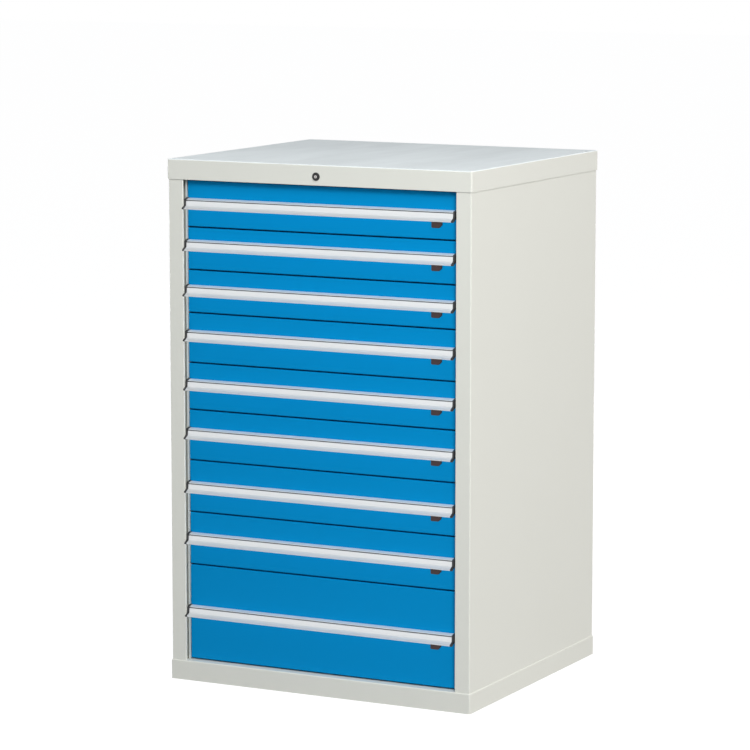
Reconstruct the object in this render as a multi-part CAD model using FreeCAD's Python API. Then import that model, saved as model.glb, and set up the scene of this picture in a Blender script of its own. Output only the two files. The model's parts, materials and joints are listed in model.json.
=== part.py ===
import FreeCAD, Part
import math
import os

# A steel tool cabinet with nine drawers, in millimetres.
# X runs to the right as seen from the front, the front faces -Y, and Z is up from the floor.
# The origin is in the middle of the footprint, on the floor.

# Housing
housing_width = 700
housing_depth = 620
overhang = 2  # the cover and the base stand this far outside the body, all round
base_height = 42
skirt_height = 42
panel_sheet = 1.2
heavy_sheet = 1.5
fold = 1.0  # inside radius of a fold
tight_fold = 0.5  # inside radius of a fold in a slide, an upright or a guide
cut_past = 1.0  # how far a cut runs past the faces that it opens
cover_edge = 3.0  # outside radius of the cover's and the base's edges
stile_width = 34
stile_lip = 2.4  # depth of the stile's short return
jamb_slot = 10  # the open slot between the stile's return and the jamb post
jamb_depth = 30  # from the body's front to the back of the jamb post
jamb_foot = 8  # the jamb post's flange on the side panel
rear_flange = 20
back_panel_play = 0.5
base_top_flange = 45
base_foot_flange = 25
bottom_panel_play = 3  # from the bottom panel to the base's walls
header_return = 24

# Drawer fronts, from the top down
front_pitches = [98, 89, 90, 105, 99, 107, 110, 112, 203]
front_gap = 3.0
jamb_gap = 2.0
front_recess = 16
front_thickness = 18
front_edge = 2.0  # outside radius of a front's edges
front_seam = 8  # how far a front's rear flanges overlap the tray

# Trays
lock_space = 33.6  # from the trays' backs to the back panel
tray_lift = 8  # from the front's lower edge to the tray's floor
tray_headroom = 18  # from the tray's rim to the front's upper edge
tray_corner = 4

# Slides
travel = 520
slide_jamb_gap = 7  # from the jamb to the carriage that passes it
slide_height = 30
slide_lift = 20  # from the tray's floor to the middle of the slide
runner_depth = 8
member_gap = 1.0
carriage_sheet = 2.0
carriage_height = 22
carriage_length = 500
rail_depth = 10
rail_setback = 40  # from the body's front to the rails' front end
roller_clearance = 0.3
roller_width = 5.4
roller_edge = 0.8
axle_radius = 3
axle_play = 0.05
roller_end_margin = 20

# Uprights
upright_width = 26
upright_foot = 8
upright_setback = 46
slot_pitch = 25
slot_width = 12
slot_height = 4
slot_margin = 22  # from an upright's ends to its slots

# Handles; the section's sizes run forward from the front and up or down from its middle
handle_raises = [1, 8, 3, 6, 5, 5, 0, 2, 4]  # each handle's middle above its front's middle
handle_wall = 2.0
handle_half_height = 11
handle_flange = 16  # height of the flange that lies on the front
handle_top_run = 4.5
handle_slope_run = 12.6
handle_slope_drop = 2.9
handle_nose = 1.0  # height of the slope's front edge, above the groove
groove_height = 1.8
groove_depth = 3.0
face_step = 1.4  # how far the face stands in front of the slope's edge
handle_face_drop = 9.5
handle_face_lean = 0.8
handle_reach = 25
handle_bend = 2.6  # outside radius of the handle's bends
handle_knee = 1.0  # inside radius of them
handle_tip = 0.5  # radius of its edges
cap_thickness = 4.6
cap_margin = 0.9  # how far a cap stands out round the handle's section
cap_edge = 1.2
cap_brow = 3.6  # radius of a cap's upper bend

# Latches
latch_side_margin = 35  # from the front's side to the latch
latch_width = 23
latch_thickness = 5
latch_show = 15  # how far it shows below the handle
latch_tuck = 6  # how far it reaches up behind the handle's lip
latch_chamfer = 6
latch_corner = 2
latch_edge = 1.0
latch_clearance = 0.4
latch_travel = 6
latch_neck_width = 10
latch_neck_height = 7
tongue_thickness = 4
tongue_height = 8
tongue_play = 1.0
tongue_setback = 0.5  # from the tongue's tip, drawn in, to the front's side

# Central lock
lock_drop = 24  # below the top of the cover
lock_ring_radius = 8.5
lock_ring_proud = 2
lock_ring_edge = 1.0
lock_barrel_radius = 7.0
lock_barrel_length = 28
lock_hole_clearance = 0.3
plug_radius = 4.2
plug_play = 0.05
plug_proud = 0.4
key_slot_width = 1.6
key_slot_height = 5.2
key_slot_depth = 16
nut_sides = 6
nut_width = 20
nut_thickness = 5
lock_turn = 90  # degrees
rod_radius = 4
crank_radius = 12
crank_thickness = 4
crank_hub_radius = 8
crank_boss_radius = 6
crank_arm_width = 9
crank_pin_radius = 3
crank_gap = 1.5  # from the crank to the lock bar, and from the bar to the pin's tip

# Lock bar and the hooks that stop the drawers
bar_width = 30
bar_thickness = 3
bar_rear_gap = 6  # behind the bar, to the back panel
bar_top_margin = 5  # from the crank's pin to the bar's upper end
bar_slot_play = 0.6
hook_width = 16
hook_sheet = 3
hook_reach = 17
hook_drop = 10
hook_seat = 10  # height of the part that is fixed to the bar
catch_height = 8
catch_sheet = 3
catch_gap = 4  # from the catch's lip to the hook, when locked
catch_lift = 30  # from the tray's floor to the catch
guide_play = 0.4
guide_height = 20
guide_foot = 12
guide_count = 3  # each stands below the hook of a drawer

# Screws of the back panel
screw_count = 6  # on each side
screw_radius = 2.0
screw_play = 0.2
screw_head_radius = 4.2
screw_head_height = 1.8
screw_head_edge = 0.9
screw_length = 9
screw_margin = 60

# Places that follow from the sizes above
fronts_height = sum(front_pitches) + front_gap
total_height = base_height + fronts_height + skirt_height
opening_top = base_height + fronts_height
cover_half_width = housing_width / 2
cover_half_depth = housing_depth / 2
body_half_width = cover_half_width - overhang
body_half_depth = cover_half_depth - overhang
body_front = -body_half_depth
roof_underside = total_height - heavy_sheet
jamb_x = body_half_width - stile_width
front_half_width = jamb_x - jamb_gap
front_y = body_front + front_recess
back_panel_inner = body_half_depth - 2 * panel_sheet
tray_front = front_y + front_thickness
tray_rear = back_panel_inner - lock_space
carriage_outer = jamb_x - slide_jamb_gap
carriage_inner = carriage_outer - carriage_sheet
runner_outer = carriage_inner - member_gap
tray_half_width = runner_outer - runner_depth
rail_inner = carriage_outer + member_gap
rail_outer = rail_inner + rail_depth
rail_front = body_front + rail_setback
rail_rear = tray_rear - tray_corner
carriage_front = tray_front + 2 * member_gap
roller_radius = slide_height / 2 - heavy_sheet - roller_clearance
roller_spacing = carriage_length - 2 * roller_end_margin - travel / 2
nose_top = handle_half_height - handle_slope_drop
groove_top = nose_top - handle_nose
groove_low = groove_top - groove_height
latch_right_edge = front_half_width - latch_side_margin
lock_z = total_height - lock_drop
crank_angle = lock_turn / 2  # the crank's arm leans this far from upright, to each side of level
crank_pin_x = crank_radius * math.sin(math.radians(crank_angle))
crank_pin_lift = crank_radius * math.cos(math.radians(crank_angle))
crank_swing = 2 * crank_pin_lift  # the bar's travel over the lock's turn
bar_rear = back_panel_inner - bar_rear_gap
bar_front = bar_rear - bar_thickness
crank_rear = bar_front - crank_gap

os.makedirs("parts", exist_ok=True)


def vector(x, y, z):
    return FreeCAD.Vector(x, y, z)


def block(x, y, z):
    """A box from three pairs of low and high values."""
    size = [high - low for low, high in (x, y, z)]
    return Part.makeBox(*size, vector(x[0], y[0], z[0]))


def rod(radius, start, end):
    """A round bar between two points."""
    along = end.sub(start)
    return Part.makeCylinder(radius, along.Length, start, along)


def fuse(first, *others):
    return first.fuse(list(others)).removeSplitter()


def mirrored(shape):
    """The same piece on the cabinet's other side."""
    return shape.mirror(vector(0, 0, 0), vector(1, 0, 0))


def lifted(plane, u, v):
    """A point of a section: plane x holds (y, z), plane y holds (x, z) and plane z holds (x, y)."""
    if plane == "x":
        return vector(0, u, v)
    if plane == "y":
        return vector(u, 0, v)
    return vector(u, v, 0)


def section(plane, points, radii):
    """A flat face with this outline, whose corners are rounded by these radii."""
    corners = []
    for i, radius in enumerate(radii):
        here = lifted(plane, *points[i])
        if not radius:
            corners.append((here, here, here))
            continue
        back = lifted(plane, *points[i - 1]).sub(here).normalize()
        ahead = lifted(plane, *points[(i + 1) % len(points)]).sub(here).normalize()
        half = back.getAngle(ahead) / 2
        reach = radius / math.tan(half)
        inward = back.add(ahead).normalize()
        middle = here + inward * (radius / math.sin(half) - radius)
        corners.append((here + back * reach, middle, here + ahead * reach))
    edges = []
    for i, (start, middle, end) in enumerate(corners):
        before = corners[i - 1][2]
        if before.distanceToPoint(start) > 1e-6:
            edges.append(Part.LineSegment(before, start).toShape())
        if start.distanceToPoint(end) > 1e-6:
            edges.append(Part.Arc(start, middle, end).toShape())
    return Part.Face(Part.Wire(edges))


def extruded(plane, face, low, high):
    """A section drawn out along its plane's own axis, from low to high."""
    axis = {"x": vector(1, 0, 0), "y": vector(0, 1, 0), "z": vector(0, 0, 1)}[plane]
    moved = face.copy()
    moved.translate(axis * low)
    return moved.extrude(axis * (high - low))


def beside(path, distance):
    """The same open line of points, moved to its left by this distance."""
    moved = []
    for i, here in enumerate(path):
        normals = []
        before = path[max(i - 1, 0)]
        after = path[min(i + 1, len(path) - 1)]
        for start, end in ((before, here), (here, after)):
            du = end[0] - start[0]
            dv = end[1] - start[1]
            length = math.hypot(du, dv)
            if length:
                normals.append((-dv / length, du / length))
        (a, b), (c, d) = normals[0], normals[-1]
        scale = distance / (1 + a * c + b * d)
        moved.append((here[0] + (a + c) * scale, here[1] + (b + d) * scale))
    return moved


def folded_sheet(plane, path, thickness, side, low, high, bend=fold):
    """A sheet bent along a line of points; side is +1 for metal to the line's left, or -1."""
    outer_radii = [0]
    inner_radii = [0]
    for before, here, after in zip(path, path[1:], path[2:]):
        turn = (here[0] - before[0]) * (after[1] - here[1])
        turn -= (here[1] - before[1]) * (after[0] - here[0])
        around = turn * side > 0
        outer_radii.append(bend + thickness if around else bend)
        inner_radii.append(bend if around else bend + thickness)
    outline = path + beside(path, thickness * side)[::-1]
    radii = outer_radii + [0, 0] + inner_radii[:0:-1] + [0]
    return extruded(plane, section(plane, outline, radii), low, high)


def channel(x_web, x_lips, z_middle, height, y_low, y_high):
    """A C-shaped slide member with its web at one x and its open side at another."""
    low, high = z_middle - height / 2, z_middle + height / 2
    path = [(x_lips, low), (x_web, low), (x_web, high), (x_lips, high)]
    side = 1 if x_web > x_lips else -1
    return folded_sheet("y", path, heavy_sheet, side, y_low, y_high, tight_fold)


def save(name, *solids):
    """Write one named piece, or a group of like pieces, to its own file."""
    shape = solids[0] if len(solids) == 1 else Part.makeCompound(list(solids))
    shape.exportStep(f"parts/{name}.step")


def front_bands():
    """The low and high edge of each drawer front, from the top down."""
    bands = []
    top = opening_top - front_gap
    for pitch in front_pitches:
        bands.append((top - pitch + front_gap, top))
        top -= pitch
    return bands


def handle_middles():
    """The height of each handle's middle, from the top down."""
    bands = zip(front_bands(), handle_raises)
    return [(low + high) / 2 + raised for (low, high), raised in bands]


def tray_floor(low):
    return low + tray_lift


def slide_middle(low):
    return tray_floor(low) + slide_lift


def catch_level(low):
    """The height of a catch's shelf, whose lip the hook drops in front of."""
    return tray_floor(low) + catch_lift


def hook_left():
    """The left side of the hooks and the catches."""
    return crank_pin_x - hook_width / 2


def latch_low(middle):
    return middle - handle_half_height - latch_show


def latch_middle(middle):
    """The height of the latch's neck and tongue."""
    return middle - handle_half_height - latch_show / 2


def tongue_band():
    """The front and rear face of a latch's tongue."""
    near = front_y + panel_sheet + latch_clearance
    return near, near + tongue_thickness


# Housing

def make_cover():
    outer = block(
        (-cover_half_width, cover_half_width),
        (-cover_half_depth, cover_half_depth),
        (total_height - skirt_height, total_height),
    )
    inner = block(
        (heavy_sheet - cover_half_width, cover_half_width - heavy_sheet),
        (heavy_sheet - cover_half_depth, cover_half_depth - heavy_sheet),
        (total_height - skirt_height, roof_underside),
    )
    inner = inner.makeFillet(cover_edge - heavy_sheet, upright_edges(inner))
    return rounded_top(outer, cover_edge).cut([inner, lock_hole(-cover_half_depth, heavy_sheet)])


def rounded_top(shape, radius):
    """Round the upright edges and those of the upper face."""
    top = shape.BoundBox.ZMax
    chosen = []
    for edge in shape.Edges:
        ends = [vertex.Point.z for vertex in edge.Vertexes]
        if abs(ends[0] - ends[1]) > 1e-6 or min(ends) > top - 1e-6:
            chosen.append(edge)
    return shape.makeFillet(radius, chosen)


def upright_edges(shape):
    return [e for e in shape.Edges if abs(e.Vertexes[0].Point.z - e.Vertexes[-1].Point.z) > 1e-6]


def lock_hole(front, depth):
    radius = lock_barrel_radius + lock_hole_clearance
    start = vector(0, front - cut_past, lock_z)
    return rod(radius, start, vector(0, front + depth + cut_past, lock_z))


def screw_heights():
    span = total_height - skirt_height - base_height - 2 * screw_margin
    step = span / (screw_count - 1)
    return [base_height + screw_margin + step * i for i in range(screw_count)]


def screw_hole(x, z):
    start = vector(x, back_panel_inner - cut_past, z)
    return rod(screw_radius + screw_play, start, vector(x, body_half_depth + cut_past, z))


def make_side_panel():
    """The right panel, folded round the front into the stile and its short return."""
    path = [
        (body_half_width - rear_flange, body_half_depth),
        (body_half_width, body_half_depth),
        (body_half_width, body_front),
        (jamb_x, body_front),
        (jamb_x, body_front + stile_lip),
    ]
    panel = folded_sheet("z", path, panel_sheet, -1, base_height, roof_underside)
    x = body_half_width - rear_flange / 2
    return panel.cut([screw_hole(x, z) for z in screw_heights()])


def make_jamb_post():
    """The right post behind the stile, which a front's side faces when the drawer is shut."""
    rear = body_front + jamb_depth
    foot_x = body_half_width - 2 * panel_sheet
    path = [
        (jamb_x, body_front + stile_lip + jamb_slot),
        (jamb_x, rear),
        (foot_x, rear),
        (foot_x, rear + jamb_foot),
    ]
    return folded_sheet("z", path, panel_sheet, -1, base_height, opening_top)


def tongue_slots():
    """The slots in the right jamb post that the latches' tongues enter."""
    near, far = tongue_band()
    slots = []
    for middle in handle_middles():
        z = latch_middle(middle)
        reach = tongue_height / 2 + tongue_play
        slots.append(
            block(
                (jamb_x - cut_past, jamb_x + panel_sheet + cut_past),
                (near - tongue_play, far + tongue_play),
                (z - reach, z + reach),
            )
        )
    return slots


def make_back_panel():
    half = body_half_width - panel_sheet - fold - back_panel_play
    rear = body_half_depth - panel_sheet
    panel = block((-half, half), (back_panel_inner, rear), (base_height, roof_underside))
    x = body_half_width - rear_flange / 2
    holes = [screw_hole(side * x, z) for side in (-1, 1) for z in screw_heights()]
    return panel.cut(holes)


def make_base():
    """A ring with a top flange that carries the body and a foot flange on the floor."""
    outer = block(
        (-cover_half_width, cover_half_width),
        (-cover_half_depth, cover_half_depth),
        (0, base_height),
    )
    outer = rounded_top(outer, cover_edge)
    hollow = block(
        (heavy_sheet - cover_half_width, cover_half_width - heavy_sheet),
        (heavy_sheet - cover_half_depth, cover_half_depth - heavy_sheet),
        (heavy_sheet, base_height - heavy_sheet),
    )
    hollow = hollow.makeFillet(cover_edge - heavy_sheet, upright_edges(hollow))
    window_x = cover_half_width - base_top_flange
    window_y = cover_half_depth - base_top_flange
    middle = base_height / 2
    window = block((-window_x, window_x), (-window_y, window_y), (middle, base_height + cut_past))
    foot_x = cover_half_width - base_foot_flange
    foot_y = cover_half_depth - base_foot_flange
    foot = block((-foot_x, foot_x), (-foot_y, foot_y), (-cut_past, middle))
    return outer.cut([hollow, window, foot])


def make_bottom_panel():
    half_x = cover_half_width - heavy_sheet - bottom_panel_play
    half_y = cover_half_depth - heavy_sheet - bottom_panel_play
    top = base_height - heavy_sheet
    return block((-half_x, half_x), (-half_y, half_y), (top - panel_sheet, top))


def make_header():
    """The folded rail behind the cover's skirt, which holds the lock."""
    path = [
        (body_front + header_return, opening_top),
        (body_front, opening_top),
        (body_front, roof_underside),
        (body_front + header_return, roof_underside),
    ]
    rail = folded_sheet("x", path, panel_sheet, -1, -jamb_x, jamb_x)
    return rail.cut(lock_hole(body_front, panel_sheet))


def make_upright(y_low):
    """A hat-shaped post on the right panel, with a row of slots for the rails' hooks."""
    seat = body_half_width - panel_sheet
    y_high = y_low + upright_width
    web = rail_outer + heavy_sheet
    path = [
        (seat, y_low - upright_foot),
        (seat, y_low),
        (web, y_low),
        (web, y_high),
        (seat, y_high),
        (seat, y_high + upright_foot),
    ]
    post = folded_sheet("z", path, heavy_sheet, 1, base_height, opening_top, tight_fold)
    middle = (y_low + y_high) / 2
    slots = []
    z = base_height + slot_margin
    while z < opening_top - slot_margin:
        slots.append(
            block(
                (rail_outer - cut_past, web + cut_past),
                (middle - slot_width / 2, middle + slot_width / 2),
                (z, z + slot_height),
            )
        )
        z += slot_pitch
    return post.cut(slots)


def make_uprights():
    front_post = body_front + upright_setback + upright_foot
    rear_post = rail_rear - upright_width - upright_foot
    right = [make_upright(front_post), make_upright(rear_post)]
    return right + [mirrored(post) for post in right]


def make_rails():
    right = []
    for low, high in front_bands():
        z = slide_middle(low)
        right.append(channel(rail_outer, rail_inner, z, slide_height, rail_front, rail_rear))
    return right + [mirrored(rail) for rail in right]


def make_screws():
    x = body_half_width - rear_flange / 2
    tip = body_half_depth - screw_length
    head_end = body_half_depth + screw_head_height
    screws = []
    for z in screw_heights():
        for side in (-1, 1):
            seat = vector(side * x, body_half_depth, z)
            shank = rod(screw_radius, vector(side * x, tip, z), seat)
            head = rod(screw_head_radius, seat, vector(side * x, head_end, z))
            rim = [e for e in head.Edges if abs(e.BoundBox.YMin - head_end) < 1e-6]
            head = head.makeFillet(screw_head_edge, rim)
            screws.append(fuse(head, shank))
    return screws


# Drawers

def make_front(low, high, middle):
    """A pan of folded sheet, whose rear flanges meet the tray, with the latch's openings."""
    outer = block((-front_half_width, front_half_width), (front_y, tray_front), (low, high))
    front_face = [
        edge for edge in outer.Edges if abs(edge.BoundBox.YMax - front_y) < 1e-6
    ]
    outer = outer.makeFillet(front_edge, front_face)
    inner = block(
        (panel_sheet - front_half_width, front_half_width - panel_sheet),
        (front_y + panel_sheet, tray_front - panel_sheet),
        (low + panel_sheet, high - panel_sheet),
    )
    window = block(
        (front_seam - tray_half_width, tray_half_width - front_seam),
        (tray_front - 2 * panel_sheet, tray_front + cut_past),
        (tray_floor(low) + front_seam, high - tray_headroom - front_seam),
    )
    inner_face = [
        edge for edge in inner.Edges if abs(edge.BoundBox.YMax - front_y - panel_sheet) < 1e-6
    ]
    inner = inner.makeFillet(front_edge - panel_sheet, inner_face)
    z = latch_middle(middle)
    far = tongue_band()[1]
    neck_low, neck_high = latch_neck_span()
    neck_window = block(
        (neck_low - tongue_play, neck_high + latch_travel + tongue_play),
        (front_y - cut_past, front_y + panel_sheet + cut_past),
        (z - latch_neck_height / 2 - tongue_play, z + latch_neck_height / 2 + tongue_play),
    )
    tongue_window = block(
        (front_half_width - panel_sheet - cut_past, front_half_width + cut_past),
        (front_y + panel_sheet, far + tongue_play),
        (z - tongue_height / 2 - tongue_play, z + tongue_height / 2 + tongue_play),
    )
    return outer.cut([inner, window, neck_window, tongue_window])


def make_tray(low, high):
    floor = tray_floor(low)
    rim = high - tray_headroom
    outer = block((-tray_half_width, tray_half_width), (tray_front, tray_rear), (floor, rim))
    inner = block(
        (panel_sheet - tray_half_width, tray_half_width - panel_sheet),
        (tray_front + panel_sheet, tray_rear - panel_sheet),
        (floor + panel_sheet, rim + cut_past),
    )
    outer = outer.makeFillet(tray_corner, upright_edges(outer))
    inner = inner.makeFillet(tray_corner - panel_sheet, upright_edges(inner))
    return outer.cut(inner)


def make_runner(low):
    y = (tray_front + tray_corner, tray_rear - tray_corner)
    return channel(tray_half_width, runner_outer, slide_middle(low), slide_height, *y)


def make_catch(low):
    """A bracket on the tray's back, with a lip turned up for the lock's hook."""
    z = catch_level(low)
    lip = bar_front - hook_reach + catch_gap
    path = [
        (tray_rear, z - catch_height),
        (tray_rear, z),
        (lip, z),
        (lip, z + catch_height),
    ]
    left = hook_left()
    return folded_sheet("x", path, catch_sheet, -1, left, left + hook_width)


def handle_slope():
    """The handle's flange, top and upper slope, as an outer line of (forward, up) points."""
    top = handle_half_height
    return [
        (0, top - handle_flange),
        (0, top),
        (handle_top_run, top),
        (handle_slope_run, nose_top),
    ]


def handle_face():
    """The handle's face and the lip that curls forward under it, as an outer line."""
    front = handle_slope_run + face_step
    return [
        (front, groove_low),
        (front + handle_face_lean, groove_low - handle_face_drop),
        (handle_reach, handle_wall / 2 - handle_half_height),
    ]


def crossing(start, end, across, value):
    """The point of a line where it has this forward (0) or this up (1) value."""
    share = (value - start[across]) / (end[across] - start[across])
    return tuple(a + (b - a) * share for a, b in zip(start, end))


def make_handle(middle):
    """An extrusion with an S-shaped section and a groove between its slope and its face."""
    slope, face = handle_slope(), handle_face()
    under_slope = beside(slope, -handle_wall)
    behind_face = beside(face, -handle_wall)
    groove_rear = handle_slope_run - groove_depth
    cup_rear = groove_rear - handle_wall
    cup_low = groove_low - handle_wall
    outline = [
        (slope[0], handle_tip),
        (slope[1], handle_bend),
        (slope[2], handle_bend),
        (slope[3], handle_tip),
        ((handle_slope_run, groove_top), handle_tip),
        ((groove_rear, groove_top), 0),
        ((groove_rear, groove_low), 0),
        (face[0], handle_tip),
        (face[1], handle_knee),
        (face[2], handle_tip),
        (behind_face[2], handle_tip),
        (behind_face[1], handle_bend),
        (crossing(behind_face[1], behind_face[0], 1, cup_low), handle_tip),
        ((cup_rear, cup_low), handle_tip),
        (crossing(under_slope[2], under_slope[3], 0, cup_rear), handle_tip),
        (under_slope[2], handle_tip),
        (under_slope[1], handle_tip),
        (under_slope[0], handle_tip),
    ]
    points = [(front_y - forward, middle + up) for (forward, up), _ in outline]
    half = front_half_width - cap_thickness
    return extruded("x", section("x", points, [radius for _, radius in outline]), -half, half)


def make_caps(middle):
    """The end caps: the handle's outline with a margin, filled in behind the face."""
    slope, face = handle_slope(), handle_face()
    top = slope[2][1] + cap_margin
    under = slope[0][1] - cap_margin
    before_face = beside(face, cap_margin)
    behind_face = beside(face, -handle_wall - cap_margin)
    outline = [
        ((0, top), 0),
        ((slope[2][0], top), cap_brow),
        ((before_face[0][0], nose_top + cap_margin), cap_edge),
        (before_face[1], cap_edge),
        (before_face[2], cap_edge),
        (behind_face[2], cap_edge),
        (crossing(behind_face[2], behind_face[1], 1, under), cap_edge),
        ((0, under), 0),
    ]
    points = [(front_y - forward, middle + up) for (forward, up), _ in outline]
    plate = section("x", points, [radius for _, radius in outline])
    right = extruded("x", plate, front_half_width - cap_thickness, front_half_width)
    return [mirrored(right), right]


def latch_neck_span():
    """The left and right side of a latch's neck."""
    middle = latch_right_edge - latch_width / 2 - latch_travel / 2
    return middle - latch_neck_width / 2, middle + latch_neck_width / 2


def make_latch(middle):
    """A thumb piece under the handle, its neck through the front, and the tongue behind."""
    low = latch_low(middle)
    high = middle - handle_half_height + latch_tuck
    left = latch_right_edge - latch_width
    outline = [
        ((left, high), 0),
        ((left, low), latch_corner),
        ((latch_right_edge - latch_chamfer, low), latch_corner),
        ((latch_right_edge, low + latch_chamfer), latch_corner),
        ((latch_right_edge, high), 0),
    ]
    plate = section("y", [point for point, _ in outline], [radius for _, radius in outline])
    back = front_y - latch_clearance
    thumb = extruded("y", plate, back - latch_thickness, back)
    front_rim = [e for e in thumb.Edges if abs(e.BoundBox.YMax - back + latch_thickness) < 1e-6]
    thumb = thumb.makeFillet(latch_edge, front_rim)
    z = latch_middle(middle)
    near, far = tongue_band()
    neck = block(
        latch_neck_span(),
        (back - latch_thickness / 2, far),
        (z - latch_neck_height / 2, z + latch_neck_height / 2),
    )
    tongue = block(
        (latch_neck_span()[0], front_half_width - tongue_setback),
        (near, far),
        (z - tongue_height / 2, z + tongue_height / 2),
    )
    return fuse(thumb, neck, tongue)


def make_roller(x, y, z):
    start = vector(x[0], y, z)
    end = vector(x[1], y, z)
    wheel = rod(roller_radius, start, end)
    rims = [edge for edge in wheel.Edges if edge.BoundBox.XLength < 1e-6]
    return wheel.makeFillet(roller_edge, rims).cut(rod(axle_radius + axle_play, start, end))


def make_carriage(low):
    """The right carriage: a strip with axles, two rollers in the rail and two in the runner."""
    z = slide_middle(low)
    half = carriage_height / 2
    y_end = carriage_front + carriage_length
    strip = block((carriage_inner, carriage_outer), (carriage_front, y_end), (z - half, z + half))
    near = carriage_front + roller_end_margin
    far = y_end - roller_end_margin
    rollers = []
    axles = []
    inner_end = carriage_inner - member_gap / 2
    outer_end = carriage_outer + member_gap / 2
    for y in (near, near + roller_spacing):
        rollers.append(make_roller((inner_end - roller_width, inner_end), y, z))
        tip = vector(inner_end - roller_width - member_gap / 2, y, z)
        axles.append(rod(axle_radius, tip, vector(carriage_inner, y, z)))
    for y in (far - roller_spacing, far):
        rollers.append(make_roller((outer_end, outer_end + roller_width), y, z))
        tip = vector(outer_end + roller_width + member_gap / 2, y, z)
        axles.append(rod(axle_radius, vector(carriage_outer, y, z), tip))
    return [fuse(strip, *axles)] + rollers


# Central lock

def make_barrel():
    """The lock's fixed body with its ring, and the nut behind the header rail."""
    face = -cover_half_depth
    ring = rod(
        lock_ring_radius, vector(0, face - lock_ring_proud, lock_z), vector(0, face, lock_z)
    )
    rim = [e for e in ring.Edges if abs(e.BoundBox.YMax - face + lock_ring_proud) < 1e-6]
    ring = ring.makeFillet(lock_ring_edge, rim)
    end = face + lock_barrel_length
    body = rod(lock_barrel_radius, vector(0, face, lock_z), vector(0, end, lock_z))
    bore_start = vector(0, face - lock_ring_proud - cut_past, lock_z)
    bore = rod(plug_radius + plug_play, bore_start, vector(0, end + cut_past, lock_z))
    nut_front = body_front + panel_sheet
    nut_rear = nut_front + nut_thickness
    reach = nut_width / 2 / math.cos(math.pi / nut_sides)
    corners = []
    for i in range(nut_sides):
        angle = 2 * math.pi * i / nut_sides
        corners.append((reach * math.cos(angle), lock_z + reach * math.sin(angle)))
    nut = extruded("y", section("y", corners, [0] * nut_sides), nut_front, nut_rear)
    hole = rod(
        lock_barrel_radius,
        vector(0, nut_front - cut_past, lock_z),
        vector(0, nut_rear + cut_past, lock_z),
    )
    return [fuse(ring, body).cut(bore), nut.cut(hole)]


def make_plug():
    """The turning plug with its key slot; upright slot when unlocked."""
    front = -cover_half_depth - lock_ring_proud - plug_proud
    end = -cover_half_depth + lock_barrel_length
    plug = rod(plug_radius, vector(0, front, lock_z), vector(0, end, lock_z))
    slot = block(
        (-key_slot_width / 2, key_slot_width / 2),
        (front - cut_past, front + key_slot_depth),
        (lock_z - key_slot_height / 2, lock_z + key_slot_height / 2),
    )
    return plug.cut(slot)


def make_lock_rod():
    """The long rod from the plug to the back, with the crank and its pin."""
    front = crank_rear - crank_thickness
    pin_z = lock_z + crank_pin_lift
    start = vector(0, -cover_half_depth + lock_barrel_length, lock_z)
    shaft = rod(rod_radius, start, vector(0, front, lock_z))
    hub = rod(crank_hub_radius, vector(0, front, lock_z), vector(0, crank_rear, lock_z))
    pin_foot = vector(crank_pin_x, crank_rear, pin_z)
    boss = rod(crank_boss_radius, vector(crank_pin_x, front, pin_z), pin_foot)
    pin_tip = vector(crank_pin_x, bar_rear + crank_gap, pin_z)
    pin = rod(crank_pin_radius, pin_foot, pin_tip)
    half = crank_arm_width / 2
    arm = block((-half, half), (front, crank_rear), (lock_z, lock_z + crank_radius))
    arm.rotate(vector(0, 0, lock_z), vector(0, 1, 0), crank_angle)
    return fuse(shaft, hub, boss, arm, pin)


def make_lock_bar():
    """The upright bar, with a slot for the crank's pin, and one hook for each drawer."""
    pin_z = lock_z + crank_pin_lift
    bar_left = crank_pin_x - bar_width / 2
    bar_right = bar_left + bar_width
    top = pin_z + crank_pin_radius + bar_top_margin
    bottom = catch_level(front_bands()[-1][0])
    bar = block((bar_left, bar_right), (bar_front, bar_rear), (bottom, top))
    reach = crank_pin_radius + bar_slot_play
    slot = block(
        (crank_pin_x - reach, crank_radius + reach),
        (bar_front - cut_past, bar_rear + cut_past),
        (pin_z - reach, pin_z + reach),
    )
    hooks = []
    for low, _ in front_bands():
        z = catch_level(low) + crank_swing + hook_sheet
        path = [
            (bar_front, z + hook_drop + hook_seat),
            (bar_front, z + hook_drop),
            (bar_front - hook_reach, z + hook_drop),
            (bar_front - hook_reach, z),
        ]
        left = hook_left()
        hooks.append(folded_sheet("x", path, hook_sheet, -1, left, left + hook_width))
    return [bar.cut(slot)] + hooks


def make_guides():
    """The brackets on the back panel that the bar slides through."""
    left = crank_pin_x - bar_width / 2 - guide_play
    right = crank_pin_x + bar_width / 2 + guide_play
    front = bar_front - guide_play
    path = [
        (left - guide_foot, back_panel_inner),
        (left, back_panel_inner),
        (left, front),
        (right, front),
        (right, back_panel_inner),
        (right + guide_foot, back_panel_inner),
    ]
    bands = front_bands()
    guides = []
    for i in range(guide_count):
        guided = (2 * i + 1) * len(bands) // (2 * guide_count)
        z = catch_level(bands[guided][0]) - guide_height
        guides.append(folded_sheet("z", path, heavy_sheet, -1, z, z + guide_height, tight_fold))
    return guides


right_panel = make_side_panel()
right_post = make_jamb_post()
save("top_cover", make_cover())
save("right_side_panel", right_panel)
save("left_side_panel", mirrored(right_panel))
save("back_panel", make_back_panel())
save("base_frame", make_base())
save("bottom_panel", make_bottom_panel())
save("front_frame", make_header(), right_post.cut(tongue_slots()), mirrored(right_post))
save("uprights", *make_uprights())
save("cabinet_rails", *make_rails())
save("panel_screws", *make_screws())
save("lock_barrel", *make_barrel())
save("lock_plug", make_plug())
save("lock_rod", make_lock_rod())
save("lock_bar", *make_lock_bar())
save("lock_bar_guides", *make_guides())

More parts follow.
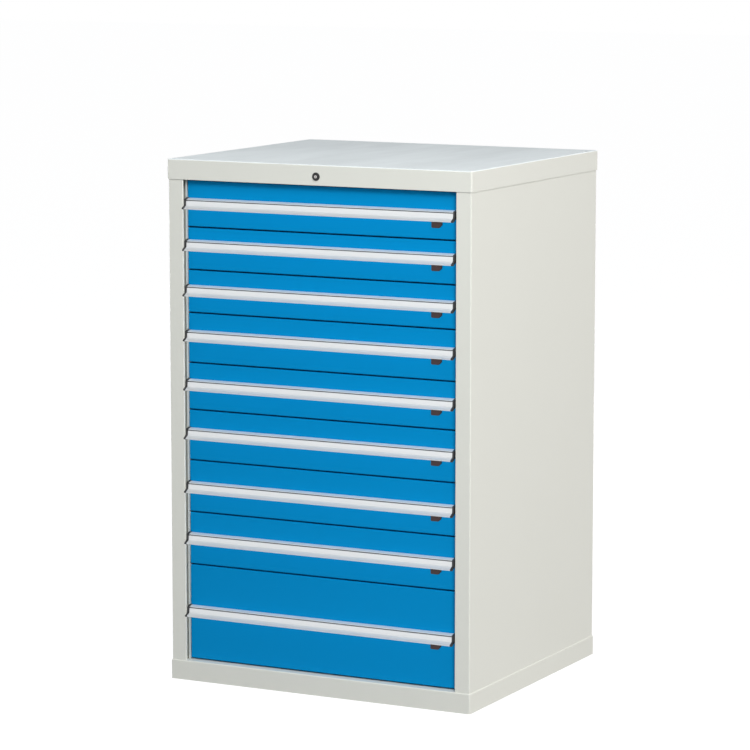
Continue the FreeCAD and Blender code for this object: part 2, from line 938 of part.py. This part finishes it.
drawers = zip(front_bands(), handle_middles())
for number, ((low, high), middle) in enumerate(drawers, start=1):
    runner = make_runner(low)
    right_carriage = make_carriage(low)
    save(
        f"drawer_{number}_box",
        make_front(low, high, middle),
        make_tray(low, high),
        runner,
        mirrored(runner),
        make_catch(low),
    )
    save(f"drawer_{number}_handle", make_handle(middle))
    save(f"drawer_{number}_end_caps", *make_caps(middle))
    save(f"drawer_{number}_latch", make_latch(middle))
    save(
        f"drawer_{number}_carriages",
        *right_carriage,
        *[mirrored(piece) for piece in right_carriage],
    )
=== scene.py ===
"""The looks of a steel tool cabinet with nine blue drawers, in metres.

X runs to the right as seen from the front, the front faces -Y, and Z is up from the floor.
"""

import json
import math

import bpy
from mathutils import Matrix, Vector


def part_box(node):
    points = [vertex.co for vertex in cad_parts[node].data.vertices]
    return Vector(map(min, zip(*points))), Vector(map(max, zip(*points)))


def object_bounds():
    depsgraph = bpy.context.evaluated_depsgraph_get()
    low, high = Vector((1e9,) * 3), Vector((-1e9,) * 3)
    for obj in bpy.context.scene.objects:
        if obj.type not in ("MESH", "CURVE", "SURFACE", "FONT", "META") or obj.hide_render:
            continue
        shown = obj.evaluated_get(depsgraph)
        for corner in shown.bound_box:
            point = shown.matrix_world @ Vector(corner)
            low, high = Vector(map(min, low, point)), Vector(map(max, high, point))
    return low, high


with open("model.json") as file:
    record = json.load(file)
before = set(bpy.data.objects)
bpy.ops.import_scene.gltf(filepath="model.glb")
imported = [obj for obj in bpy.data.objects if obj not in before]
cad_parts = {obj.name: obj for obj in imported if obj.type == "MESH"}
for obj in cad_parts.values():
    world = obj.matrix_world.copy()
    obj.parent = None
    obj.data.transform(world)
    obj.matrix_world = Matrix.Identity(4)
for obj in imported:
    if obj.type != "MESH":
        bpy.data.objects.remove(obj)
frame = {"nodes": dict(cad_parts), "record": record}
cad_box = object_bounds()


def linear(red, green, blue):
    """A linear colour from the 0 to 255 values that a screen shows."""
    channels = []
    for value in (red, green, blue):
        share = value / 255
        low = share <= 0.04045
        channels.append(share / 12.92 if low else ((share + 0.055) / 1.055) ** 2.4)
    return (*channels, 1.0)


# Camera, fitted to the corners of the housing
sensor_width = 36.0  # millimetres
lens = 162.4  # millimetres
camera_azimuth = 27.33  # degrees to the right of the front
camera_pitch = 8.18  # degrees above the horizon
camera_distance = 7.182
camera_reach = 100.0
aim_right = -0.023  # where the camera aims, to its own right of the middle
aim_height = 0.631

# Floor and world
floor_reach = 30.0
floor_grey = 0.4
floor_glow = 0.98  # what a camera ray adds to the lit floor
floor_share = 0.12  # how much of the lit floor a camera ray keeps
sky_light = 0.12
sky_colour = (0.78, 0.84, 1.0, 1.0)
pure_white = (1.0, 1.0, 1.0, 1.0)

# Lamps: azimuth and elevation in degrees as for the camera, distance, size, power and colour
lamp_aim = Vector((0, 0, 0.6))
lamps = {
    "side_right": (105, 8, 6.0, 2.6, 118.0, (1.0, 0.96, 0.93)),
    "front_right": (36, 31, 6.0, 1.9, 290.0, (0.99, 0.98, 0.965)),
    "front": (5, 8, 6.0, 2.4, 14.0, (0.9, 0.97, 1.0)),
    "front_high": (12, 62, 4.0, 1.6, 25.0, (0.9, 0.96, 1.0)),
    "left": (-105, 0, 4.0, 0.9, 60.0, (1.0, 1.0, 1.0)),
    "rear": (190, 0, 4.0, 0.9, 70.0, (1.0, 1.0, 1.0)),
}
front_lamps = ("front", "front_right", "front_high")
standing_out = ("_handle", "_end_caps", "_latch")  # nodes without a shadow from these lamps

# Colours
housing_white = linear(222, 223, 215)
# A painted reflection on the cover's upper face, paler and bluer than its paint
roof_reflection_white = linear(249, 255, 255)
drawer_blue = (0.0004, 0.256, 0.58, 1.0)
tray_grey = linear(206, 209, 208)
aluminium_grey = (0.79, 0.81, 0.82, 1.0)
# Painted shade inside the handles' groove
groove_painted_shade = (0.12, 0.135, 0.145, 1.0)
cap_black = (0.018, 0.019, 0.020, 1.0)
latch_brown = (0.032, 0.013, 0.012, 1.0)
lock_black = (0.007, 0.007, 0.007, 1.0)
lock_grey = (0.62, 0.60, 0.58, 1.0)
plug_grey = (0.75, 0.72, 0.70, 1.0)
zinc_grey = (0.62, 0.63, 0.64, 1.0)
screw_grey = (0.60, 0.60, 0.60, 1.0)

# The range of most noise
noise_low = 0.3
noise_high = 0.7

# Powder coat. Here and below, a tone is how much of a colour is left at its darkest
housing_roughness = 0.45
housing_specular = 0.35
drawer_roughness = 0.40
drawer_specular = 0.06
drift_scale = 2.2
drift_detail = 3.0
drift_tone = 0.985
gloss_scale = 7.0
gloss_detail = 4.0
gloss_below = 0.03  # from the mean roughness to the glossiest spots
gloss_above = 0.04  # from the mean roughness to the dullest spots
peel_scale = 380.0
peel_detail = 1.0
peel_depth = 0.00003
fine_peel_scale = 1400.0
fine_peel_depth = 0.00001

# The cover's upper face, where a paler bluish reflection in soft streaks is painted
roof_start = 0.002  # below the cover's top
roof_end = 0.001  # below the cover's top
roof_roughness = 0.72
roof_specular = 0.2
reflection_stretch = (7.0, 1.6, 1.0)
reflection_detail = 5.0
reflection_noise_roughness = 0.6
reflection_low = 0.38
reflection_high = 0.62
reflection_tone = 0.91

# Handles
aluminium_metallic = 0.4
line_stretch = (3.0, 1500.0, 1500.0)
line_detail = 4.0
line_tone = 0.94
line_gloss = (0.32, 0.44)  # lowest and highest roughness
line_depth = 0.000012
# Painted shade towards each handle's foot
foot_shade_tone = 0.85
foot_shade_low = 0.12  # share of the handle's height up to which the painted shade is full
foot_shade_high = 0.6  # share of the handle's height from which there is no painted shade
groove_front = 0.0125  # from a handle's back to the front of its groove
groove_drop = 0.0048  # from a handle's top to the middle of its groove
groove_height = 0.0018
groove_fade = 0.01  # share of the handle's depth over which the groove's painted shade begins
groove_edges = (1.02, 1.1)  # the painted shade fades between these multiples of half the groove

# Moulded plastic: caps, latches and the lock's ring
cap_roughness = 0.38
latch_roughness = 0.42
ring_roughness = 0.4
grain_scale = 1800.0
grain_tone = 0.8
grain_dulls = 0.12  # what the grain adds to the roughness
grain_depth = 0.00003

# Zinc plate
patch_scale = 60.0
patch_detail = 3.0
patch_tone = 0.82
patch_gloss = (0.28, 0.42)  # lowest and highest roughness
pit_scale = 900.0
pit_depth = 0.00001

# The lock's plug
plug_radius = 0.0029  # of the bright middle
plug_roughness = 0.35
plug_metallic = 0.6

# Where one node changes its finish
edge_blur = 0.0002
tray_front = -0.274  # Y where the blue front ends and the grey tray begins
tray_side = 0.2962  # X, on both sides, beyond which the runners lie
tray_rear = 0.2722  # Y behind which the catch lies


def darker(colour, share):
    """The same colour at this share of its brightness."""
    return (*[channel * share for channel in colour[:3]], 1.0)


def direction(azimuth, elevation):
    """The unit vector from the object towards this azimuth and elevation."""
    a = math.radians(azimuth)
    e = math.radians(elevation)
    return Vector((math.sin(a) * math.cos(e), -math.cos(a) * math.cos(e), math.sin(e)))


# Materials

class Graph:
    """One material's nodes, with short calls to add and join them."""

    def __init__(self, name):
        self.material = bpy.data.materials.new(name)
        self.material.use_nodes = True
        self.tree = self.material.node_tree
        self.shader = self.tree.nodes["Principled BSDF"]
        coordinates = self.add("ShaderNodeTexCoord")
        self.place = coordinates.outputs["Object"]
        self.box_place = coordinates.outputs["Generated"]

    def add(self, kind, **settings):
        """A new node of this kind."""
        node = self.tree.nodes.new(kind)
        for name, value in settings.items():
            setattr(node, name, value)
        return node

    def feed(self, socket, value):
        """Join another node's output to a socket, or put a number or a colour on it."""
        if isinstance(value, bpy.types.NodeSocket):
            self.tree.links.new(value, socket)
        else:
            socket.default_value = value

    def set(self, **values):
        """Feed the shader's inputs, whose names are written with _ for a space."""
        for name, value in values.items():
            self.feed(self.shader.inputs[name.replace("_", " ")], value)

    def mapped(self, scale, shift=(0.0, 0.0, 0.0)):
        """The place on the object, scaled along each axis and then shifted."""
        node = self.add("ShaderNodeMapping")
        self.feed(node.inputs["Vector"], self.place)
        self.feed(node.inputs["Scale"], scale)
        self.feed(node.inputs["Location"], shift)
        return node.outputs["Vector"]

    def axis(self, place, name):
        """One of the X, Y and Z of a place."""
        node = self.add("ShaderNodeSeparateXYZ")
        self.feed(node.inputs["Vector"], place)
        return node.outputs[name]

    def combine(self, operation, first, second=0.0):
        """The result of a calculation with one or two values."""
        node = self.add("ShaderNodeMath", operation=operation)
        self.feed(node.inputs[0], first)
        self.feed(node.inputs[1], second)
        return node.outputs["Value"]

    def noise(self, scale, detail=2.0, roughness=0.5, place=None):
        """Noise at this scale, on the object's own place unless another is given."""
        node = self.add("ShaderNodeTexNoise")
        self.feed(node.inputs["Vector"], place or self.place)
        self.feed(node.inputs["Scale"], scale)
        self.feed(node.inputs["Detail"], detail)
        self.feed(node.inputs["Roughness"], roughness)
        return node.outputs["Fac"]

    def spread(self, value, low, high, start=noise_low, end=noise_high):
        """A value moved from the range of start and end to low and high, and held there."""
        node = self.add("ShaderNodeMapRange")
        self.feed(node.inputs["Value"], value)
        self.feed(node.inputs["From Min"], start)
        self.feed(node.inputs["From Max"], end)
        self.feed(node.inputs["To Min"], low)
        self.feed(node.inputs["To Max"], high)
        return node.outputs["Result"]

    def rise(self, value, start, end):
        """0 up to the start, 1 from the end on and a straight line between them."""
        return self.spread(value, 0.0, 1.0, start, end)

    def fall(self, value, start, end):
        """1 up to the start, 0 from the end on and a straight line between them."""
        return self.spread(value, 1.0, 0.0, start, end)

    def between(self, share, first, second):
        """A number between two, the second where the share is 1."""
        return self.spread(share, first, second, 0.0, 1.0)

    def blend(self, share, first, second):
        """A colour between two, the second where the share is 1."""
        node = self.add("ShaderNodeMix", data_type="RGBA")
        self.feed(node.inputs["Factor"], share)
        self.feed(node.inputs["A"], first)
        self.feed(node.inputs["B"], second)
        return node.outputs["Result"]

    def mottled(self, pattern, colour, tone):
        """A colour that a pattern darkens, down to its tone."""
        return self.blend(pattern, darker(colour, tone), colour)

    def bumps(self, *layers):
        """Bumps from pairs of a height output and a depth in metres."""
        normal = None
        for height, depth in layers:
            node = self.add("ShaderNodeBump")
            self.feed(node.inputs["Height"], height)
            self.feed(node.inputs["Distance"], depth)
            if normal:
                self.feed(node.inputs["Normal"], normal)
            normal = node.outputs["Normal"]
        self.set(Normal=normal)


def drifting(graph, colour):
    """A paint's colour, which drifts slightly."""
    return graph.mottled(graph.noise(drift_scale, drift_detail), colour, drift_tone)


def drifting_gloss(graph, roughness):
    """A paint's roughness, which drifts slightly."""
    pattern = graph.noise(gloss_scale, gloss_detail)
    return graph.spread(pattern, roughness - gloss_below, roughness + gloss_above)


def orange_peel(graph):
    """The faint waves of powder coat, in a coarse and a fine layer."""
    coarse = graph.noise(peel_scale, peel_detail)
    fine = graph.noise(fine_peel_scale)
    graph.bumps((coarse, peel_depth), (fine, fine_peel_depth))


def powder_coat(name, colour):
    """The housing's satin powder coat."""
    graph = Graph(name)
    graph.set(
        Base_Color=drifting(graph, colour),
        Roughness=drifting_gloss(graph, housing_roughness),
        Specular_IOR_Level=housing_specular,
    )
    orange_peel(graph)
    return graph.material


def cover_with_painted_reflection(name, colour, reflection_colour):
    """The housing's powder coat, with a painted reflection on the cover's upper face: a paler
    bluish white, darker in soft streaks.
    """
    graph = Graph(name)
    top = cad_box[1][2]
    upper = graph.rise(graph.axis(graph.place, "Z"), top - roof_start, top - roof_end)
    # Painted reflection: a paler bluish white on the upper face, darker in soft streaks
    reflection_streaks = graph.noise(1.0, reflection_detail, reflection_noise_roughness, graph.mapped(reflection_stretch))
    painted_reflection = graph.mottled(graph.rise(reflection_streaks, reflection_low, reflection_high), reflection_colour, reflection_tone)
    graph.set(
        Base_Color=graph.blend(upper, colour, painted_reflection),
        Roughness=graph.between(upper, housing_roughness, roof_roughness),
        Specular_IOR_Level=graph.between(upper, housing_specular, roof_specular),
    )
    orange_peel(graph)
    return graph.material


def drawer_body(name, blue, grey, zinc):
    """Blue paint on the front, grey paint on the tray, and zinc on its runners and catch."""
    graph = Graph(name)
    along = graph.axis(graph.place, "Y")
    across = graph.combine("ABSOLUTE", graph.axis(graph.place, "X"))
    behind = graph.rise(along, tray_front, tray_front + edge_blur)
    beside = graph.rise(across, tray_side, tray_side + edge_blur)
    rear = graph.rise(along, tray_rear, tray_rear + edge_blur)
    plated = graph.combine("MULTIPLY", graph.combine("MAXIMUM", beside, rear), behind)
    painted = graph.blend(behind, drifting(graph, blue), grey)
    plate = graph.mottled(graph.noise(patch_scale, patch_detail), zinc, patch_tone)
    graph.set(
        Base_Color=graph.blend(plated, painted, plate),
        Metallic=plated,
        Roughness=drifting_gloss(graph, drawer_roughness),
        Specular_IOR_Level=drawer_specular,
    )
    orange_peel(graph)
    return graph.material


def extruded_aluminium(name, colour, groove_shade):
    """Anodised aluminium with fine lines along X from the die, painted shade towards its foot,
    and painted shade in its groove.
    """
    graph = Graph(name)
    lines = graph.noise(1.0, line_detail, place=graph.mapped(line_stretch))
    metal = graph.mottled(lines, colour, line_tone)
    # Painted shade, darker towards the handle's foot
    metal = graph.blend(foot_shade_share(graph), metal, darker(colour, foot_shade_tone))
    # Painted shade fills the groove
    graph.set(
        Base_Color=graph.blend(groove_shade_share(graph), metal, groove_shade),
        Metallic=aluminium_metallic,
        Roughness=graph.spread(lines, *line_gloss),
    )
    graph.bumps((lines, line_depth))
    return graph.material


def foot_shade_share(graph):
    """1 at the foot of any handle, where shade is painted, and 0 above its middle."""
    return graph.fall(graph.axis(graph.box_place, "Z"), foot_shade_low, foot_shade_high)


def groove_shade_share(graph):
    """1 inside the groove of any handle, where shade is painted, and 0 elsewhere, from the place
    in the handle's box.
    """
    low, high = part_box("drawer_1_handle")
    depth = high[1] - low[1]
    height = high[2] - low[2]
    front = 1 - groove_front / depth
    behind = graph.rise(graph.axis(graph.box_place, "Y"), front, front + groove_fade)
    middle = 1 - groove_drop / height
    half = groove_height / 2 / height
    offset = graph.combine("SUBTRACT", graph.axis(graph.box_place, "Z"), middle)
    away = graph.combine("ABSOLUTE", offset)
    level = graph.fall(away, *[half * edge for edge in groove_edges])
    return graph.combine("MULTIPLY", behind, level)


def moulded_plastic(name, colour, roughness):
    """Moulded plastic with a fine spark-eroded grain."""
    graph = Graph(name)
    grain = graph.noise(grain_scale)
    graph.set(
        Base_Color=graph.mottled(grain, colour, grain_tone),
        Roughness=graph.spread(grain, roughness, roughness + grain_dulls),
    )
    graph.bumps((grain, grain_depth))
    return graph.material


def zinc_plate(name, colour):
    """Zinc plated steel, with soft patches of tone and gloss."""
    graph = Graph(name)
    patches = graph.noise(patch_scale, patch_detail)
    graph.set(
        Base_Color=graph.mottled(patches, colour, patch_tone),
        Metallic=1.0,
        Roughness=graph.spread(patches, *patch_gloss),
    )
    graph.bumps((graph.noise(pit_scale), pit_depth))
    return graph.material


def ringed_plug(name, metal, dark):
    """The lock's plug: bright metal in the middle of its face, and a dark rim."""
    graph = Graph(name)
    plug_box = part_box("lock_plug")
    height = (plug_box[0][2] + plug_box[1][2]) / 2
    from_axis = graph.mapped(scale=(1.0, 0.0, 1.0), shift=(0.0, 0.0, -height))
    distance = graph.add("ShaderNodeVectorMath", operation="LENGTH")
    graph.feed(distance.inputs[0], from_axis)
    rim = graph.rise(distance.outputs["Value"], plug_radius, plug_radius + edge_blur)
    graph.set(
        Base_Color=graph.blend(rim, metal, dark),
        Metallic=graph.between(rim, plug_metallic, 0.0),
        Roughness=plug_roughness,
    )
    return graph.material


def dress_nodes():
    """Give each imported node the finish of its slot, or its own where it has one."""
    slot_finishes = {
        "housing_paint": powder_coat("housing_paint", housing_white),
        "drawer_paint": drawer_body("drawer_paint", drawer_blue, tray_grey, zinc_grey),
        "aluminium": extruded_aluminium("aluminium", aluminium_grey, groove_painted_shade),
        "cap_plastic": moulded_plastic("cap_plastic", cap_black, cap_roughness),
        "latch_plastic": moulded_plastic("latch_plastic", latch_brown, latch_roughness),
        "zinc": zinc_plate("zinc", zinc_grey),
        "lock_ring": moulded_plastic("lock_ring", lock_black, ring_roughness),
        "lock_metal": zinc_plate("lock_metal", lock_grey),
        "screw_metal": zinc_plate("screw_metal", screw_grey),
    }
    own_finishes = {
        "top_cover": cover_with_painted_reflection("cover_paint_painted_reflection", housing_white, roof_reflection_white),
        "lock_plug": ringed_plug("plug_metal", plug_grey, lock_black),
    }
    for part in frame["record"]["subparts"]:
        node = part["node"]
        finish = own_finishes.get(node, slot_finishes[part["material_slot"]])
        for slot in frame["nodes"][node].material_slots:
            slot.material = finish


# Studio

def white_for_camera(tree, light_source, white_source, output):
    """Send camera, glossy and transmission rays to the white source and the rest to the light."""
    nodes = tree.nodes
    path = nodes.new("ShaderNodeLightPath")
    either = path.outputs["Is Camera Ray"]
    for ray in ("Is Glossy Ray", "Is Transmission Ray"):
        most = nodes.new("ShaderNodeMath")
        most.operation = "MAXIMUM"
        tree.links.new(either, most.inputs[0])
        tree.links.new(path.outputs[ray], most.inputs[1])
        either = most.outputs["Value"]
    mix = nodes.new("ShaderNodeMixShader")
    tree.links.new(either, mix.inputs["Fac"])
    tree.links.new(light_source, mix.inputs[1])
    tree.links.new(white_source, mix.inputs[2])
    tree.links.new(mix.outputs["Shader"], output)


def grey_diffuse(tree, share):
    """A matt grey that gives back this share of the light."""
    node = tree.nodes.new("ShaderNodeBsdfDiffuse")
    node.inputs["Color"].default_value = (share, share, share, 1.0)
    return node.outputs["BSDF"]


def make_floor():
    """A floor that looks white and keeps the object's shadow."""
    mesh = bpy.data.meshes.new("floor")
    corners = [(x * floor_reach, y * floor_reach, 0)
               for x, y in ((-1, -1), (1, -1), (1, 1), (-1, 1))]
    mesh.from_pydata(corners, [], [(0, 1, 2, 3)])
    floor = bpy.data.objects.new("floor", mesh)
    bpy.context.scene.collection.objects.link(floor)
    material = bpy.data.materials.new("floor_white")
    material.use_nodes = True
    tree = material.node_tree
    tree.nodes.remove(tree.nodes["Principled BSDF"])
    glow = tree.nodes.new("ShaderNodeEmission")
    glow.inputs["Strength"].default_value = floor_glow
    both = tree.nodes.new("ShaderNodeAddShader")
    tree.links.new(grey_diffuse(tree, floor_share), both.inputs[0])
    tree.links.new(glow.outputs["Emission"], both.inputs[1])
    output = tree.nodes["Material Output"].inputs["Surface"]
    white_for_camera(tree, grey_diffuse(tree, floor_grey), both.outputs["Shader"], output)
    mesh.materials.append(material)


def make_world():
    """A pale blue light from all round, and white where the camera looks past the object."""
    world = bpy.data.worlds.new("studio")
    bpy.context.scene.world = world
    world.use_nodes = True
    tree = world.node_tree
    light = tree.nodes["Background"]
    light.inputs["Color"].default_value = sky_colour
    light.inputs["Strength"].default_value = sky_light
    white = tree.nodes.new("ShaderNodeBackground")
    white.inputs["Color"].default_value = pure_white
    white.inputs["Strength"].default_value = 1.0
    output = tree.nodes["World Output"].inputs["Surface"]
    white_for_camera(tree, light.outputs["Background"], white.outputs["Background"], output)


def add_aimed(data, aim, azimuth, elevation, distance):
    """A lamp or camera that looks at the aim from this azimuth, elevation and distance."""
    back = direction(azimuth, elevation)
    item = bpy.data.objects.new(data.name, data)
    item.location = aim + back * distance
    item.rotation_mode = "QUATERNION"
    item.rotation_quaternion = back.to_track_quat("Z", "Y")
    bpy.context.scene.collection.objects.link(item)
    return item


def shadow_casters():
    """The housing and the drawers, without what stands out from their fronts."""
    casters = bpy.data.collections.new("shadow_casters")
    for name, piece in frame["nodes"].items():
        if not name.endswith(standing_out):
            casters.objects.link(piece)
    return casters


def make_lamps():
    """Square lamps round the object."""
    casters = shadow_casters()
    for name, (azimuth, elevation, distance, size, power, colour) in lamps.items():
        data = bpy.data.lights.new(name, "AREA")
        data.shape = "SQUARE"
        data.size = size
        data.energy = power
        data.color = colour
        lamp = add_aimed(data, lamp_aim, azimuth, elevation, distance)
        if name in front_lamps:
            lamp.light_linking.blocker_collection = casters


def make_camera():
    """The photo's camera."""
    data = bpy.data.cameras.new("camera")
    data.sensor_width = sensor_width
    data.lens = lens
    data.clip_end = camera_reach
    a = math.radians(camera_azimuth)
    aim = Vector((aim_right * math.cos(a), aim_right * math.sin(a), aim_height))
    camera = add_aimed(data, aim, camera_azimuth, camera_pitch, camera_distance)
    bpy.context.scene.camera = camera


dress_nodes()
make_floor()
make_world()
make_lamps()
make_camera()
bpy.context.scene.view_settings.view_transform = "Standard"
